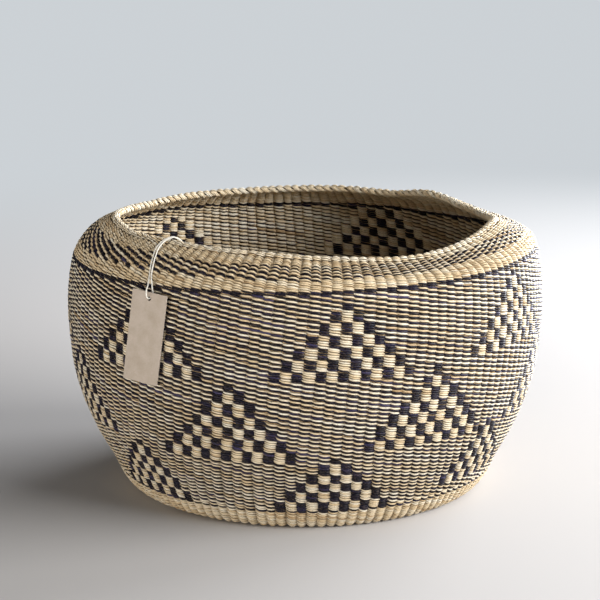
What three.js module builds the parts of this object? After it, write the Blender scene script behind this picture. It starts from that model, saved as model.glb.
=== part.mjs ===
import * as THREE from 'three';

// A bowl basket twined from grass, in millimetres, +Z up. The origin is the centre of the flat
// face it stands on, and its front is toward -Y. Azimuths are measured from the front toward +X.
// Every ring of weft is one solid with a sleeve round each stake, and the stakes run from near
// the middle of the floor, through all the sleeves, to the border at the rim.

// Outline of the outer face
const footRadius = 168;
const bellyRadius = 230;
const bellyHeight = 185;
const rimRadius = 194.3;
const rimHeight = 250.2;

// Wall section
const weftThickness = 1.7;
const stakeThickness = 2.2;
const stakeWidth = 3;
const fitGap = 0.3;
const sleeveWidth = stakeWidth + 2 * fitGap;
const sleeveDepth = stakeThickness + 2 * fitGap;
const wallThickness = 2 * weftThickness + sleeveDepth;

// The weft of the wall bulges over each stake as a rib, with a groove of this depth between two
const ribHeight = 1.8;

// Stakes. One is modelled for every five of the 140 that the weave turns over.
const stakeCount = 28;
const crossingRadius = 30;

// Widths of the bands, measured along the outer face. The upper row of triangles fills what is
// left between the middle row and the shoulder line.
const footBandWidth = 25;
const footLineWidth = 2.1;
const lowerRowWidth = 63.6;
const middleRowWidth = 75.8;
const shoulderLineWidth = 3.6;
const shoulderBandWidth = 11.5;
const stripedBandWidth = 20.5;
const rimBandWidth = 6.5;

// Border at the rim
const borderHeight = 8;
const borderWidth = 9.2;

// How the hand-made shape departs from round and level
const footOvalShare = 0.1;
const footOvalHeight = 200;
const mouthOvalShare = 0.034;
const shoulderLean = 4.6;
const shoulderHeight = 228;
const rimWaveHeight = 7;

// Hang tag, a plain card on a loop of string
const tagWidth = 36.5;
const tagHeight = 83;
const tagThickness = 0.8;
const tagCornerRadius = 1;
const tagHoleDiameter = 4;
const tagHoleInset = 5.9;
const tagAzimuth = -29;
const tagTilt = 4;
const tagRoll = -5.8;

// String
const stringDiameter = 1.4;
const stringSides = 8;
const stringStepShare = 2.6;

// Route of the string, as places sideways, outward and up at its own azimuth. It runs from the
// inside of the wall under the border, over the rim, through the hole of the tag and back.
const stringAzimuth = -40;
const stringRoute = [
  [7.5, 193.0, 247.6], [7.3, 191.1, 244.5], [7.0, 187.7, 243.3], [6.5, 183.9, 245.0],
  [5.7, 181.1, 248.9], [4.7, 180.2, 253.0], [3.1, 181.4, 257.4], [0.0, 185.8, 260.8],
  [-3.6, 191.2, 259.6], [-6.2, 196.6, 256.2], [-5.2, 203.2, 252.6], [-2.0, 210.2, 247.4],
  [1.2, 217.2, 239.4], [3.8, 221.9, 231.0],
  [9.4, 229.8, 225.0], [12.5, 234.9, 221.8], [13.4, 236.3, 218.2], [13.4, 235.2, 214.8],
  [13.3, 232.1, 213.4], [13.2, 229.1, 214.5], [13.1, 227.5, 217.6], [12.6, 227.5, 221.6],
  [9.8, 225.1, 226.0],
  [6.2, 221.8, 231.0], [3.7, 217.1, 239.4],
  [0.8, 210.3, 247.4], [-2.2, 203.4, 252.6], [-3.6, 196.8, 256.2], [-1.3, 191.3, 259.6],
  [2.3, 185.9, 260.8], [5.3, 181.5, 257.4], [6.9, 180.2, 253.0], [7.8, 181.1, 248.9],
  [8.6, 183.9, 245.0], [9.2, 187.7, 243.3], [9.5, 191.1, 244.5], [9.7, 193.0, 247.6],
];

// Which points of the route lie where the string leaves the shoulder, in the hole, and back
// at the shoulder
const leftBendIndex = 13;
const holeIndex = 18;
const rightBendIndex = 23;

// Outline points: shares of the way from foot to belly, then from belly to rim
const lowerRadiusShares = [0, 0.065, 0.121, 0.21, 0.371, 0.634, 0.889, 0.985, 1];
const lowerHeightShares = [0, 0.005, 0.0173, 0.0568, 0.1676, 0.331, 0.5676, 0.804, 1];
const upperRadiusShares = [0.087, 0.199, 0.364, 0.56, 0.826, 1];
const upperHeightShares = [0.43, 0.672, 0.819, 0.905, 0.971, 1];

// Rise and dip of the rim at even steps round it from the front, as shares of its wave height
const rimWaveShares = [
  0.11, -0.29, -0.71, -0.41, 0.3, 0.86, 0.14, -0.57, -0.43, 0.41, -0.29, -0.14,
  -0.17, -0.24, -0.09, 0.16, 0.09, 0.37, 0.71, 0.93, 0.64, 0.83, 0.67, 0.53,
];

const straw = new THREE.MeshStandardMaterial({ color: 0xd6b987, roughness: 0.75, metalness: 0 });
const dyedStraw = new THREE.MeshStandardMaterial({ color: 0x26273f, roughness: 0.65, metalness: 0 });
const mixedStraw = new THREE.MeshStandardMaterial({ color: 0x857a69, roughness: 0.7, metalness: 0 });
const stakeStraw = new THREE.MeshStandardMaterial({ color: 0xc0a06c, roughness: 0.8, metalness: 0 });
const cord = new THREE.MeshStandardMaterial({ color: 0xe9e5dc, roughness: 0.85, metalness: 0 });
const card = new THREE.MeshStandardMaterial({ color: 0xb7a897, roughness: 0.9, metalness: 0 });

const basket = new THREE.Group();
const radians = THREE.MathUtils.degToRad;

// Outer outline as one smooth curve, radius in x and height in z
const outlinePoints = [
  ...lowerRadiusShares.map((share, i) => new THREE.Vector3(
    THREE.MathUtils.lerp(footRadius, bellyRadius, share), 0, bellyHeight * lowerHeightShares[i])),
  ...upperRadiusShares.map((share, i) => new THREE.Vector3(
    THREE.MathUtils.lerp(bellyRadius, rimRadius, share), 0,
    THREE.MathUtils.lerp(bellyHeight, rimHeight, upperHeightShares[i]))),
];
const outline = new THREE.CatmullRomCurve3(outlinePoints, false, 'centripetal');
outline.arcLengthDivisions = 600;
const wallLength = outline.getLength();

// Place and direction of the outer face at a distance along the wall from the edge of the flat
// foot. A distance below zero lies on the flat foot, and one past the wall runs straight on.
function outlineAt(distance) {
  const along = THREE.MathUtils.clamp(distance / wallLength, 0, 1);
  const point = outline.getPointAt(along);
  const direction = outline.getTangentAt(along);
  const onFoot = Math.min(distance, 0);
  const past = Math.max(distance - wallLength, 0);
  return {
    radius: point.x + onFoot + past * direction.x,
    height: point.z + past * direction.z,
    alongR: direction.x,
    alongZ: direction.z,
  };
}

// Height that the rim gains at an azimuth, smooth between the named steps
function rimWaveAt(azimuth) {
  const count = rimWaveShares.length;
  const place = THREE.MathUtils.euclideanModulo(azimuth / 360, 1) * count;
  const step = Math.floor(place);
  const t = place - step;
  const [a, b, c, d] = [-1, 0, 1, 2].map((k) => rimWaveShares[(step + k + count) % count]);
  const share = b + 0.5 * t * (c - a + t * (2 * a - 5 * b + 4 * c - d + t * (3 * (b - c) + d - a)));
  return rimWaveHeight * share;
}

// Point of the wall at an azimuth, a distance along it and a depth under its outer face
function wallPoint(azimuth, distance, depth) {
  const outer = outlineAt(distance);
  const radius = outer.radius - depth * outer.alongZ;
  const height = outer.height + depth * outer.alongR;
  const angle = radians(azimuth);
  const lean = shoulderLean * Math.sin(angle);
  const toRim = THREE.MathUtils.smoothstep(outer.height, shoulderHeight, rimHeight);
  const toShoulder = Math.min(outer.height / shoulderHeight, 1);
  const rise = THREE.MathUtils.lerp(lean * toShoulder, rimWaveAt(azimuth), toRim);
  const footOval = 1 + footOvalShare * Math.max(1 - outer.height / footOvalHeight, 0);
  const mouthOval = 1 - mouthOvalShare * toRim;
  return new THREE.Vector3(
    radius * Math.sin(angle) * mouthOval,
    -radius * Math.cos(angle) * footOval,
    height + rise,
  );
}

const cellMiddle = (cell) => cell * 360 / stakeCount;
const cellEdge = (cell) => cellMiddle(cell - 0.5);

// Point in a stake's flat cell, set off sideways from the stake's line
function cellPoint(cell, sideways, distance, depth) {
  const left = wallPoint(cellEdge(cell), distance, depth);
  const right = wallPoint(cellEdge(cell + 1), distance, depth);
  return left.clone().lerp(right, 0.5 + sideways / left.distanceTo(right));
}

// Four corners of a stake or of its sleeve, outer left first, seen from outside
function stakeCorners(cell, distance, width, outerDepth, innerDepth) {
  return [
    cellPoint(cell, -width / 2, distance, outerDepth),
    cellPoint(cell, width / 2, distance, outerDepth),
    cellPoint(cell, width / 2, distance, innerDepth),
    cellPoint(cell, -width / 2, distance, innerDepth),
  ];
}

// Collects corners and faces of one closed solid
class Solid {
  constructor() {
    this.positions = [];
    this.indices = [];
  }
  corner(point) {
    this.positions.push(point.x, point.y, point.z);
    return this.positions.length / 3 - 1;
  }
  triangle(a, b, c) {
    this.indices.push(a, b, c);
  }
  quad(a, b, c, d) {
    this.triangle(a, b, c);
    this.triangle(a, c, d);
  }
  mesh(name, material) {
    const geometry = new THREE.BufferGeometry();
    geometry.setAttribute('position', new THREE.Float32BufferAttribute(this.positions, 3));
    geometry.setIndex(this.indices);
    geometry.computeVertexNormals();
    const mesh = new THREE.Mesh(geometry, material);
    mesh.name = name;
    return mesh;
  }
}

const cells = Array.from({ length: stakeCount }, (_, cell) => cell);
const next = (cell) => (cell + 1) % stakeCount;

// Distances along the wall where a solid between two of them has its rings of corners
function evenSteps(from, to, steps) {
  return Array.from({ length: steps + 1 }, (_, i) => THREE.MathUtils.lerp(from, to, i / steps));
}

// Depth of the grooves between the ribs, which rise from the flat foot over the foot band
const grooveAt = (distance) => ribHeight * THREE.MathUtils.clamp(distance / footBandWidth, 0, 1);

// Skins and sleeves of a ring of weft, with a crest over each stake and a groove at the edges of
// its cell. Returns the corners at each distance.
function weftWalls(solid, distances) {
  const rings = distances.map((distance) => cells.map((cell) => ({
    outer: solid.corner(wallPoint(cellEdge(cell), distance, grooveAt(distance))),
    crest: solid.corner(wallPoint(cellMiddle(cell), distance, 0)),
    inner: solid.corner(wallPoint(cellEdge(cell), distance, wallThickness)),
    sleeve: stakeCorners(cell, distance, sleeveWidth, weftThickness, weftThickness + sleeveDepth)
      .map((point) => solid.corner(point)),
  })));
  rings.slice(1).forEach((upper, step) => {
    const lower = rings[step];
    for (const cell of cells) {
      const side = next(cell);
      solid.quad(lower[cell].outer, lower[cell].crest, upper[cell].crest, upper[cell].outer);
      solid.quad(lower[cell].crest, lower[side].outer, upper[side].outer, upper[cell].crest);
      solid.quad(lower[side].inner, lower[cell].inner, upper[cell].inner, upper[side].inner);
      lower[cell].sleeve.forEach((corner, i) => {
        const j = (i + 1) % 4;
        solid.quad(lower[cell].sleeve[j], corner, upper[cell].sleeve[i], upper[cell].sleeve[j]);
      });
    }
  });
  return rings;
}

// End face of a ring of weft, round the mouths of its sleeves
function weftEnd(solid, ring, facesOn) {
  for (const cell of cells) {
    const side = next(cell);
    const { outer, crest, inner, sleeve } = ring[cell];
    const rim = [crest, ring[side].outer, ring[side].inner, inner];
    rim.forEach((corner, i) => {
      const j = (i + 1) % 4;
      if (facesOn) solid.quad(corner, rim[j], sleeve[j], sleeve[i]);
      else solid.quad(corner, sleeve[i], sleeve[j], rim[j]);
    });
    if (facesOn) solid.triangle(inner, outer, crest);
    else solid.triangle(outer, inner, crest);
  }
}

function weftRing(name, material, from, to, steps) {
  const solid = new Solid();
  const rings = weftWalls(solid, evenSteps(from + fitGap / 2, to - fitGap / 2, steps));
  weftEnd(solid, rings[0], false);
  weftEnd(solid, rings.at(-1), true);
  basket.add(solid.mesh(name, material));
}

// Round floor of the basket, flat under the stakes. Its sleeves end short of the middle, where
// the stakes cross.
function floorWeave() {
  const solid = new Solid();
  const rings = weftWalls(solid, [crossingRadius - fitGap - footRadius, -fitGap / 2]);
  const under = solid.corner(new THREE.Vector3(0, 0, 0));
  const over = solid.corner(new THREE.Vector3(0, 0, wallThickness * outlineAt(0).alongR));
  for (const cell of cells) {
    const here = rings[0][cell];
    const side = rings[0][next(cell)];
    solid.triangle(under, here.crest, here.outer);
    solid.triangle(under, side.outer, here.crest);
    solid.triangle(over, here.inner, side.inner);
    solid.quad(...here.sleeve);
  }
  weftEnd(solid, rings.at(-1), true);
  basket.add(solid.mesh('floor_weave', straw));
}

// One stake, from the crossing to the border
function stake(cell, distances) {
  const solid = new Solid();
  const outerDepth = weftThickness + fitGap;
  const rings = distances.map((distance) => (
    stakeCorners(cell, distance, stakeWidth, outerDepth, outerDepth + stakeThickness)
      .map((point) => solid.corner(point))));
  rings.slice(1).forEach((upper, step) => {
    rings[step].forEach((corner, i) => {
      const j = (i + 1) % 4;
      solid.quad(corner, rings[step][j], upper[j], upper[i]);
    });
  });
  solid.quad(...rings[0].toReversed());
  solid.quad(...rings.at(-1));
  basket.add(solid.mesh(`stake_${String(cell + 1).padStart(2, '0')}`, stakeStraw));
}

// Rolled border that the folded stake ends make round the mouth
function rimBorder() {
  const solid = new Solid();
  const sides = 10;
  const middle = wallLength + fitGap + borderHeight / 2;
  const rings = cells.map((cell) => Array.from({ length: sides }, (_, i) => {
    const turn = 2 * Math.PI * i / sides;
    return solid.corner(wallPoint(
      cellEdge(cell),
      middle + borderHeight / 2 * Math.cos(turn),
      wallThickness / 2 + borderWidth / 2 * Math.sin(turn),
    ));
  }));
  for (const cell of cells) {
    rings[cell].forEach((corner, i) => {
      const j = (i + 1) % sides;
      solid.quad(rings[cell][j], corner, rings[next(cell)][i], rings[next(cell)][j]);
    });
  }
  basket.add(solid.mesh('rim_border', straw));
}

// Whole string as one curve
const stringPoints = stringRoute.map(([sideways, outward, up]) => (
  new THREE.Vector3(sideways, -outward, up).applyAxisAngle(
    new THREE.Vector3(0, 0, 1), radians(stringAzimuth))));
const wholeString = new THREE.CatmullRomCurve3(stringPoints, false, 'centripetal');
wholeString.arcLengthDivisions = 1200;
const stringLength = wholeString.getLength();
const lengthsAlong = wholeString.getLengths();
const distanceToPoint = (index) => (
  lengthsAlong[Math.round(index / (stringRoute.length - 1) * wholeString.arcLengthDivisions)]);

// One stretch of the string, between two distances along it
function stringStretch(name, from, to) {
  const steps = Math.round((to - from) / (stringStepShare * stringDiameter));
  const points = evenSteps(from, to, steps).map((along) => (
    wholeString.getPointAt(along / stringLength)));
  const section = new THREE.Shape(Array.from({ length: stringSides }, (_, i) => (
    new THREE.Vector2(stringDiameter / 2, 0).rotateAround(
      new THREE.Vector2(), 2 * Math.PI * i / stringSides))));
  const geometry = new THREE.ExtrudeGeometry(section, {
    steps,
    extrudePath: new THREE.CatmullRomCurve3(points, false, 'centripetal'),
  });
  const mesh = new THREE.Mesh(geometry, cord);
  mesh.name = name;
  basket.add(mesh);
}

// Card with its hole, hung at the hole and turned as it lies against the basket
function hangTag() {
  const top = tagHoleInset;
  const bottom = tagHoleInset - tagHeight;
  const side = tagWidth / 2;
  const r = tagCornerRadius;
  const shape = new THREE.Shape();
  shape.moveTo(side - r, bottom);
  shape.quadraticCurveTo(side, bottom, side, bottom + r);
  shape.lineTo(side, top - r);
  shape.quadraticCurveTo(side, top, side - r, top);
  shape.lineTo(r - side, top);
  shape.quadraticCurveTo(-side, top, -side, top - r);
  shape.lineTo(-side, bottom + r);
  shape.quadraticCurveTo(-side, bottom, r - side, bottom);
  shape.closePath();
  shape.holes.push(new THREE.Path().absarc(0, 0, tagHoleDiameter / 2, 0, 2 * Math.PI, true));
  const geometry = new THREE.ExtrudeGeometry(shape, {
    depth: tagThickness, bevelEnabled: false, curveSegments: 4,
  });
  geometry.translate(0, 0, -tagThickness / 2);
  geometry.rotateZ(radians(tagRoll));
  const mesh = new THREE.Mesh(geometry, card);
  mesh.name = 'hang_tag';
  mesh.rotation.set(radians(90 - tagTilt), 0, radians(tagAzimuth), 'ZXY');
  mesh.position.copy(stringPoints[holeIndex]);
  basket.add(mesh);
}

const lowerRowStart = footBandWidth + footLineWidth;
const middleRowStart = lowerRowStart + lowerRowWidth;
const upperRowStart = middleRowStart + middleRowWidth;
const rimBandStart = wallLength - rimBandWidth;
const stripedBandStart = rimBandStart - stripedBandWidth;
const shoulderBandStart = stripedBandStart - shoulderBandWidth;
const shoulderLineStart = shoulderBandStart - shoulderLineWidth;

const bands = [
  { name: 'foot_band', material: straw, from: 0, steps: 2 },
  { name: 'foot_line', material: dyedStraw, from: footBandWidth, steps: 1 },
  { name: 'lower_triangle_row', material: mixedStraw, from: lowerRowStart, steps: 2 },
  { name: 'middle_triangle_row', material: mixedStraw, from: middleRowStart, steps: 2 },
  { name: 'upper_triangle_row', material: mixedStraw, from: upperRowStart, steps: 3 },
  { name: 'shoulder_line', material: dyedStraw, from: shoulderLineStart, steps: 1 },
  { name: 'shoulder_band', material: straw, from: shoulderBandStart, steps: 1 },
  { name: 'striped_band', material: mixedStraw, from: stripedBandStart, steps: 2 },
  { name: 'rim_band', material: straw, from: rimBandStart, steps: 1 },
].map((band, i, all) => ({ ...band, to: all[i + 1]?.from ?? wallLength }));

floorWeave();
for (const band of bands) weftRing(band.name, band.material, band.from, band.to, band.steps);
const stakeBends = [
  crossingRadius - footRadius,
  ...bands.flatMap((band) => evenSteps(band.from, band.to, band.steps).slice(0, -1)),
  wallLength - fitGap / 2,
];
for (const cell of cells) stake(cell, stakeBends);
rimBorder();
const leftEnd = distanceToPoint(leftBendIndex);
const rightEnd = distanceToPoint(rightBendIndex);
stringStretch('string_strand_left', 0, leftEnd - fitGap / 2);
stringStretch('string_loop', leftEnd + fitGap / 2, rightEnd - fitGap / 2);
stringStretch('string_strand_right', rightEnd + fitGap / 2, stringLength);
hangTag();

export default basket;
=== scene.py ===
import math

import bpy
import numpy as np
from mathutils import Matrix, Vector


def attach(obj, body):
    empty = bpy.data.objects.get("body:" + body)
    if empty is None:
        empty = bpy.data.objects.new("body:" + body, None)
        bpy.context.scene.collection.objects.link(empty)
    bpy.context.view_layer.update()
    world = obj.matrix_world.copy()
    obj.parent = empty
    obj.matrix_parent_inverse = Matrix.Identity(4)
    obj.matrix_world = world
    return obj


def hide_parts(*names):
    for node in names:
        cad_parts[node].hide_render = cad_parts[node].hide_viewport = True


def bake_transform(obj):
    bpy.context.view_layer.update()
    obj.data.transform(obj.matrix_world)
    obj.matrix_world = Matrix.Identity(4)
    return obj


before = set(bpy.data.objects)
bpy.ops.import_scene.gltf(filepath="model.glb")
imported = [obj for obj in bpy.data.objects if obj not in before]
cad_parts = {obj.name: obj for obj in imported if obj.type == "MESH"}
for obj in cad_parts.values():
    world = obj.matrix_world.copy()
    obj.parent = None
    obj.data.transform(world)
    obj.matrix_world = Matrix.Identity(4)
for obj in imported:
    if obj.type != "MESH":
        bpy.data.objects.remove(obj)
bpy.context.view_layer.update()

# A bowl basket twined from dyed and natural grass. Metres, front toward -Y, azimuths in degrees
# from the front toward +X. Distances "along" run up the outer face from the edge of the foot,
# and "depth" goes from that face into the wall.

dice = np.random.default_rng(11)
scene = bpy.context.scene
scene.view_settings.view_transform = "Standard"


# Camera

camera = {
    "place": (0.0, -2.2, 0.663),
    "pitch": 12.62,              # degrees below level
    "focalPixels": 2312.0,       # in a frame of frameWidth pixels
    "axisPixel": 305.2,          # column of the frame that the axis of the basket falls on
    "frameWidth": 600,
    "sensor": 36.0,
    "farthest": 20.0,
}


def makeCamera():
    data = bpy.data.cameras.new("camera")
    data.sensor_width = camera["sensor"]
    data.lens = camera["sensor"] * camera["focalPixels"] / camera["frameWidth"]
    data.shift_x = 0.5 - camera["axisPixel"] / camera["frameWidth"]
    data.clip_end = camera["farthest"]
    eye = bpy.data.objects.new("camera", data)
    eye.location = camera["place"]
    eye.rotation_euler = (math.radians(90 - camera["pitch"]), 0, 0)
    scene.collection.objects.link(eye)
    scene.camera = eye


makeCamera()
print("camera placed")


# Shape of the wall

bowl = {
    "footRadius": 0.168,
    "bellyRadius": 0.230,
    "bellyHeight": 0.185,
    "rimRadius": 0.1943,
    "rimHeight": 0.2502,
    "wallThickness": 0.0062,
    "lowerRadiusShares": [0, 0.065, 0.121, 0.21, 0.371, 0.634, 0.889, 0.985, 1],
    "lowerHeightShares": [0, 0.005, 0.0173, 0.0568, 0.1676, 0.331, 0.5676, 0.804, 1],
    "upperRadiusShares": [0.087, 0.199, 0.364, 0.56, 0.826, 1],
    "upperHeightShares": [0.43, 0.672, 0.819, 0.905, 0.971, 1],
    "footOvalShare": 0.1,
    "footOvalHeight": 0.200,
    "mouthOvalShare": 0.034,
    "shoulderLean": 0.0046,
    "shoulderHeight": 0.228,
    "thinFrom": 0.255,           # the wall grows thinner from here to the mouth
    "thinBy": 0.0014,
    "rimWaveHeight": 0.007,
    "rimWaveShares": [0.11, -0.29, -0.71, -0.41, 0.3, 0.86, 0.14, -0.57, -0.43, 0.41, -0.29, -0.14,
                      -0.17, -0.24, -0.24, -0.16, -0.2, 0.2, 0.71, 0.93, 0.64, 0.83, 0.67, 0.53],
}


def smoothCurve(points, stepsPerSpan):
    # Catmull-Rom curve with centripetal spacing, through every point
    points = np.array(points, float)
    first, last = 2 * points[0] - points[1], 2 * points[-1] - points[-2]
    line = np.vstack([first, points, last])
    t = np.linspace(0, 1, stepsPerSpan, endpoint=False)[:, None]
    stretches = []
    for a, b, c, d in zip(line, line[1:], line[2:], line[3:]):
        ab, bc, cd = (math.sqrt(np.linalg.norm(q - p)) for p, q in ((a, b), (b, c), (c, d)))
        leave = ((b - a) / ab - (c - a) / (ab + bc) + (c - b) / bc) * bc
        reach = ((c - b) / bc - (d - b) / (bc + cd) + (d - c) / cd) * bc
        square = -3 * b + 3 * c - 2 * leave - reach
        stretches.append(b + leave * t + square * t ** 2 + (2 * b - 2 * c + leave + reach) * t ** 3)
    return np.vstack(stretches + [points[-1:]])


def distancesAlong(line):
    return np.r_[0, np.cumsum(np.linalg.norm(np.diff(line, axis=0), axis=1))]


def outlinePoints():
    foot, belly, rim = bowl["footRadius"], bowl["bellyRadius"], bowl["rimRadius"]
    low, high = bowl["bellyHeight"], bowl["rimHeight"]
    lower = zip(bowl["lowerRadiusShares"], bowl["lowerHeightShares"])
    upper = zip(bowl["upperRadiusShares"], bowl["upperHeightShares"])
    points = [(foot + (belly - foot) * r, low * h) for r, h in lower]
    return points + [(belly + (rim - belly) * r, low + (high - low) * h) for r, h in upper]


outlineCurve = smoothCurve(outlinePoints(), 80)
outlineAlong = distancesAlong(outlineCurve)
outlineSlope = np.gradient(outlineCurve, outlineAlong, axis=0)
wallLength = outlineAlong[-1]


def rimWaveAt(azimuth):
    shares = np.array(bowl["rimWaveShares"])
    place = (azimuth / 360 % 1) * len(shares)
    step = np.floor(place).astype(int)
    t = place - step
    a, b, c, d = (shares[(step + k) % len(shares)] for k in (-1, 0, 1, 2))
    bend = t * (c - a + t * (2 * a - 5 * b + 4 * c - d + t * (3 * (b - c) + d - a)))
    return bowl["rimWaveHeight"] * (b + 0.5 * bend)


def wallPoint(azimuth, along, depth):
    # Points of the wall as an array with x, y and z last
    azimuth, along, depth = np.broadcast_arrays(azimuth, along, depth)
    within = np.clip(along, 0, wallLength)
    onFoot = np.minimum(along, 0)
    past = np.maximum(along - wallLength, 0)
    slopeR = np.interp(within, outlineAlong, outlineSlope[:, 0])
    slopeZ = np.interp(within, outlineAlong, outlineSlope[:, 1])
    outerR = np.interp(within, outlineAlong, outlineCurve[:, 0]) + onFoot + past * slopeR
    outerZ = np.interp(within, outlineAlong, outlineCurve[:, 1]) + past * slopeZ
    angle = np.radians(azimuth)
    reach = np.clip((outerZ - bowl["shoulderHeight"]) / (bowl["rimHeight"] - bowl["shoulderHeight"]), 0, 1)
    toRim = reach * reach * (3 - 2 * reach)
    lean = bowl["shoulderLean"] * np.sin(angle) * np.minimum(outerZ / bowl["shoulderHeight"], 1)
    rise = lean * (1 - toRim) + rimWaveAt(azimuth) * toRim
    footOval = 1 + bowl["footOvalShare"] * np.maximum(1 - outerZ / bowl["footOvalHeight"], 0)
    mouthOval = 1 - bowl["mouthOvalShare"] * toRim
    radius = outerR - depth * slopeZ
    return np.stack([
        radius * np.sin(angle) * mouthOval,
        -radius * np.cos(angle) * footOval,
        outerZ + depth * slopeR + rise,
    ], axis=-1)


# Meshes

def newPiece(name, points, corners, sizes, material, uv=None, values=None):
    # Mesh object from corner indices and the number of corners of each face. Its values are one
    # number for all points, or a number or a vector for each.
    points = np.reshape(points, (-1, 3))
    mesh = bpy.data.meshes.new(name)
    mesh.vertices.add(len(points))
    mesh.vertices.foreach_set("co", np.asarray(points, np.float32).ravel())
    mesh.loops.add(len(corners))
    mesh.loops.foreach_set("vertex_index", np.asarray(corners, np.int32))
    mesh.polygons.add(len(sizes))
    starts = np.r_[0, np.cumsum(sizes)[:-1]]
    mesh.polygons.foreach_set("loop_start", starts.astype(np.int32))
    mesh.polygons.foreach_set("use_smooth", np.ones(len(sizes), bool))
    if uv is not None:
        mesh.uv_layers.new(name="OFBake").data.foreach_set("uv", np.asarray(uv, np.float32).ravel())
    for key, value in (values or {}).items():
        isVector = np.ndim(value) == 2
        layer = mesh.attributes.new(key, "FLOAT_VECTOR" if isVector else "FLOAT", "POINT")
        whole = value if isVector else np.broadcast_to(value, len(points))
        layer.data.foreach_set("vector" if isVector else "value", np.asarray(whole, np.float32).ravel())
    mesh.update(calc_edges=True)
    mesh.validate()
    mesh.materials.append(material)
    piece = bpy.data.objects.new(name, mesh)
    scene.collection.objects.link(piece)
    return piece


def tubeFaces(count, rings, sides, flip):
    # Corner indices and face sizes of many closed tubes with the same rings and sides, and where
    # each corner lies: its tube, its ring and its side, counted on past the last side
    ring, side = np.meshgrid(np.arange(rings - 1), np.arange(sides), indexing="ij")
    quad = np.stack([ring, ring, ring + 1, ring + 1], -1).reshape(-1)
    turn = np.stack([side, side + 1, side + 1, side], -1).reshape(-1)
    first, last = np.arange(sides)[::-1], np.arange(sides)
    allRings = np.r_[quad, np.zeros(sides, int), np.full(sides, rings - 1)]
    allSides = np.r_[turn, first, last]
    sizes = np.r_[np.full((rings - 1) * sides, 4), sides, sides]
    if flip:
        order = np.concatenate([np.arange(s, s + n)[::-1] for s, n in
                                zip(np.r_[0, np.cumsum(sizes)[:-1]], sizes)])
        allRings, allSides = allRings[order], allSides[order]
    local = allRings * sides + allSides % sides
    corners = (np.arange(count)[:, None] * rings * sides + local).reshape(-1)
    return corners, np.tile(sizes, count), allRings, allSides


def fibrePlace(along, across, number):
    # Place of each point for the fibres: along and across its strand, and the strand's own number
    return np.stack(np.broadcast_arrays(along, across, number), -1).reshape(-1, 3)


# Materials

def addNode(tree, kind, inputs=None, **settings):
    node = tree.nodes.new(kind)
    for key, value in settings.items():
        setattr(node, key, value)
    for key, value in (inputs or {}).items():
        if isinstance(value, bpy.types.NodeSocket):
            tree.links.new(value, node.inputs[key])
        else:
            node.inputs[key].default_value = value
    return node


def calculate(tree, operation, *values):
    return addNode(tree, "ShaderNodeMath", dict(enumerate(values)), operation=operation).outputs[0]


def mapRange(tree, value, start, end, low=0.0, high=1.0, **settings):
    # A value between start and end, carried over to the range from low to high
    ends = {"Value": value, "From Min": start, "From Max": end, "To Min": low, "To Max": high}
    return addNode(tree, "ShaderNodeMapRange", ends, **settings).outputs[0]


def noise(tree, place, scale, detail):
    inputs = {"Vector": place, "Scale": scale, "Detail": detail}
    return addNode(tree, "ShaderNodeTexNoise", inputs).outputs[0]


def mixColours(tree, share, first, second):
    return addNode(tree, "ShaderNodeMix", {0: share, 6: first, 7: second}, data_type="RGBA").outputs[2]


def attribute(tree, name, output="Fac"):
    return addNode(tree, "ShaderNodeAttribute", attribute_name=name).outputs[output]


def roughen(tree, shader, height, strength, depth):
    bump = addNode(tree, "ShaderNodeBump", {"Height": height, "Strength": strength, "Distance": depth})
    tree.links.new(bump.outputs[0], shader.inputs["Normal"])


def newGroup(name, inputs, outputs):
    tree = bpy.data.node_groups.new(name, "ShaderNodeTree")
    for label, kind, value in inputs:
        socket = tree.interface.new_socket(name=label, in_out="INPUT", socket_type=kind)
        if value is not None:
            socket.default_value = value
    for label, kind in outputs:
        tree.interface.new_socket(name=label, in_out="OUTPUT", socket_type=kind)
    return tree, tree.nodes.new("NodeGroupInput").outputs, tree.nodes.new("NodeGroupOutput").inputs


fibres = {
    "detail": 2.0,
    "fleckStretch": (5.5, 0.8, 1.0),    # how much finer flecks are, along, across and by strand
    "fleckFrom": 0.62,
    "fleckTo": 0.70,
    "numbers": 500,              # a strand's own number is drawn below this
}


def fibreGroup():
    # Fibres and flecks that run along a strand, from its place along, across and its own number
    tree, given, result = newGroup(
        "grassFibre",
        [("Place", "NodeSocketVector", None), ("Length", "NodeSocketFloat", 0.006),
         ("Width", "NodeSocketFloat", 0.0003)],
        [("Fibre", "NodeSocketFloat"), ("Fleck", "NodeSocketFloat")],
    )
    parts = addNode(tree, "ShaderNodeSeparateXYZ", {0: given["Place"]}).outputs
    along = calculate(tree, "DIVIDE", parts[0], given["Length"])
    across = calculate(tree, "DIVIDE", parts[1], given["Width"])
    place = addNode(tree, "ShaderNodeCombineXYZ", {0: along, 1: across, 2: parts[2]}).outputs[0]
    finer = addNode(tree, "ShaderNodeVectorMath", {0: place, 1: fibres["fleckStretch"]},
                    operation="MULTIPLY")
    fleck = mapRange(tree, noise(tree, finer.outputs[0], 1.0, 0.0), fibres["fleckFrom"], fibres["fleckTo"])
    tree.links.new(noise(tree, place, 1.0, fibres["detail"]), result["Fibre"])
    tree.links.new(fleck, result["Fleck"])
    return tree


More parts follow.
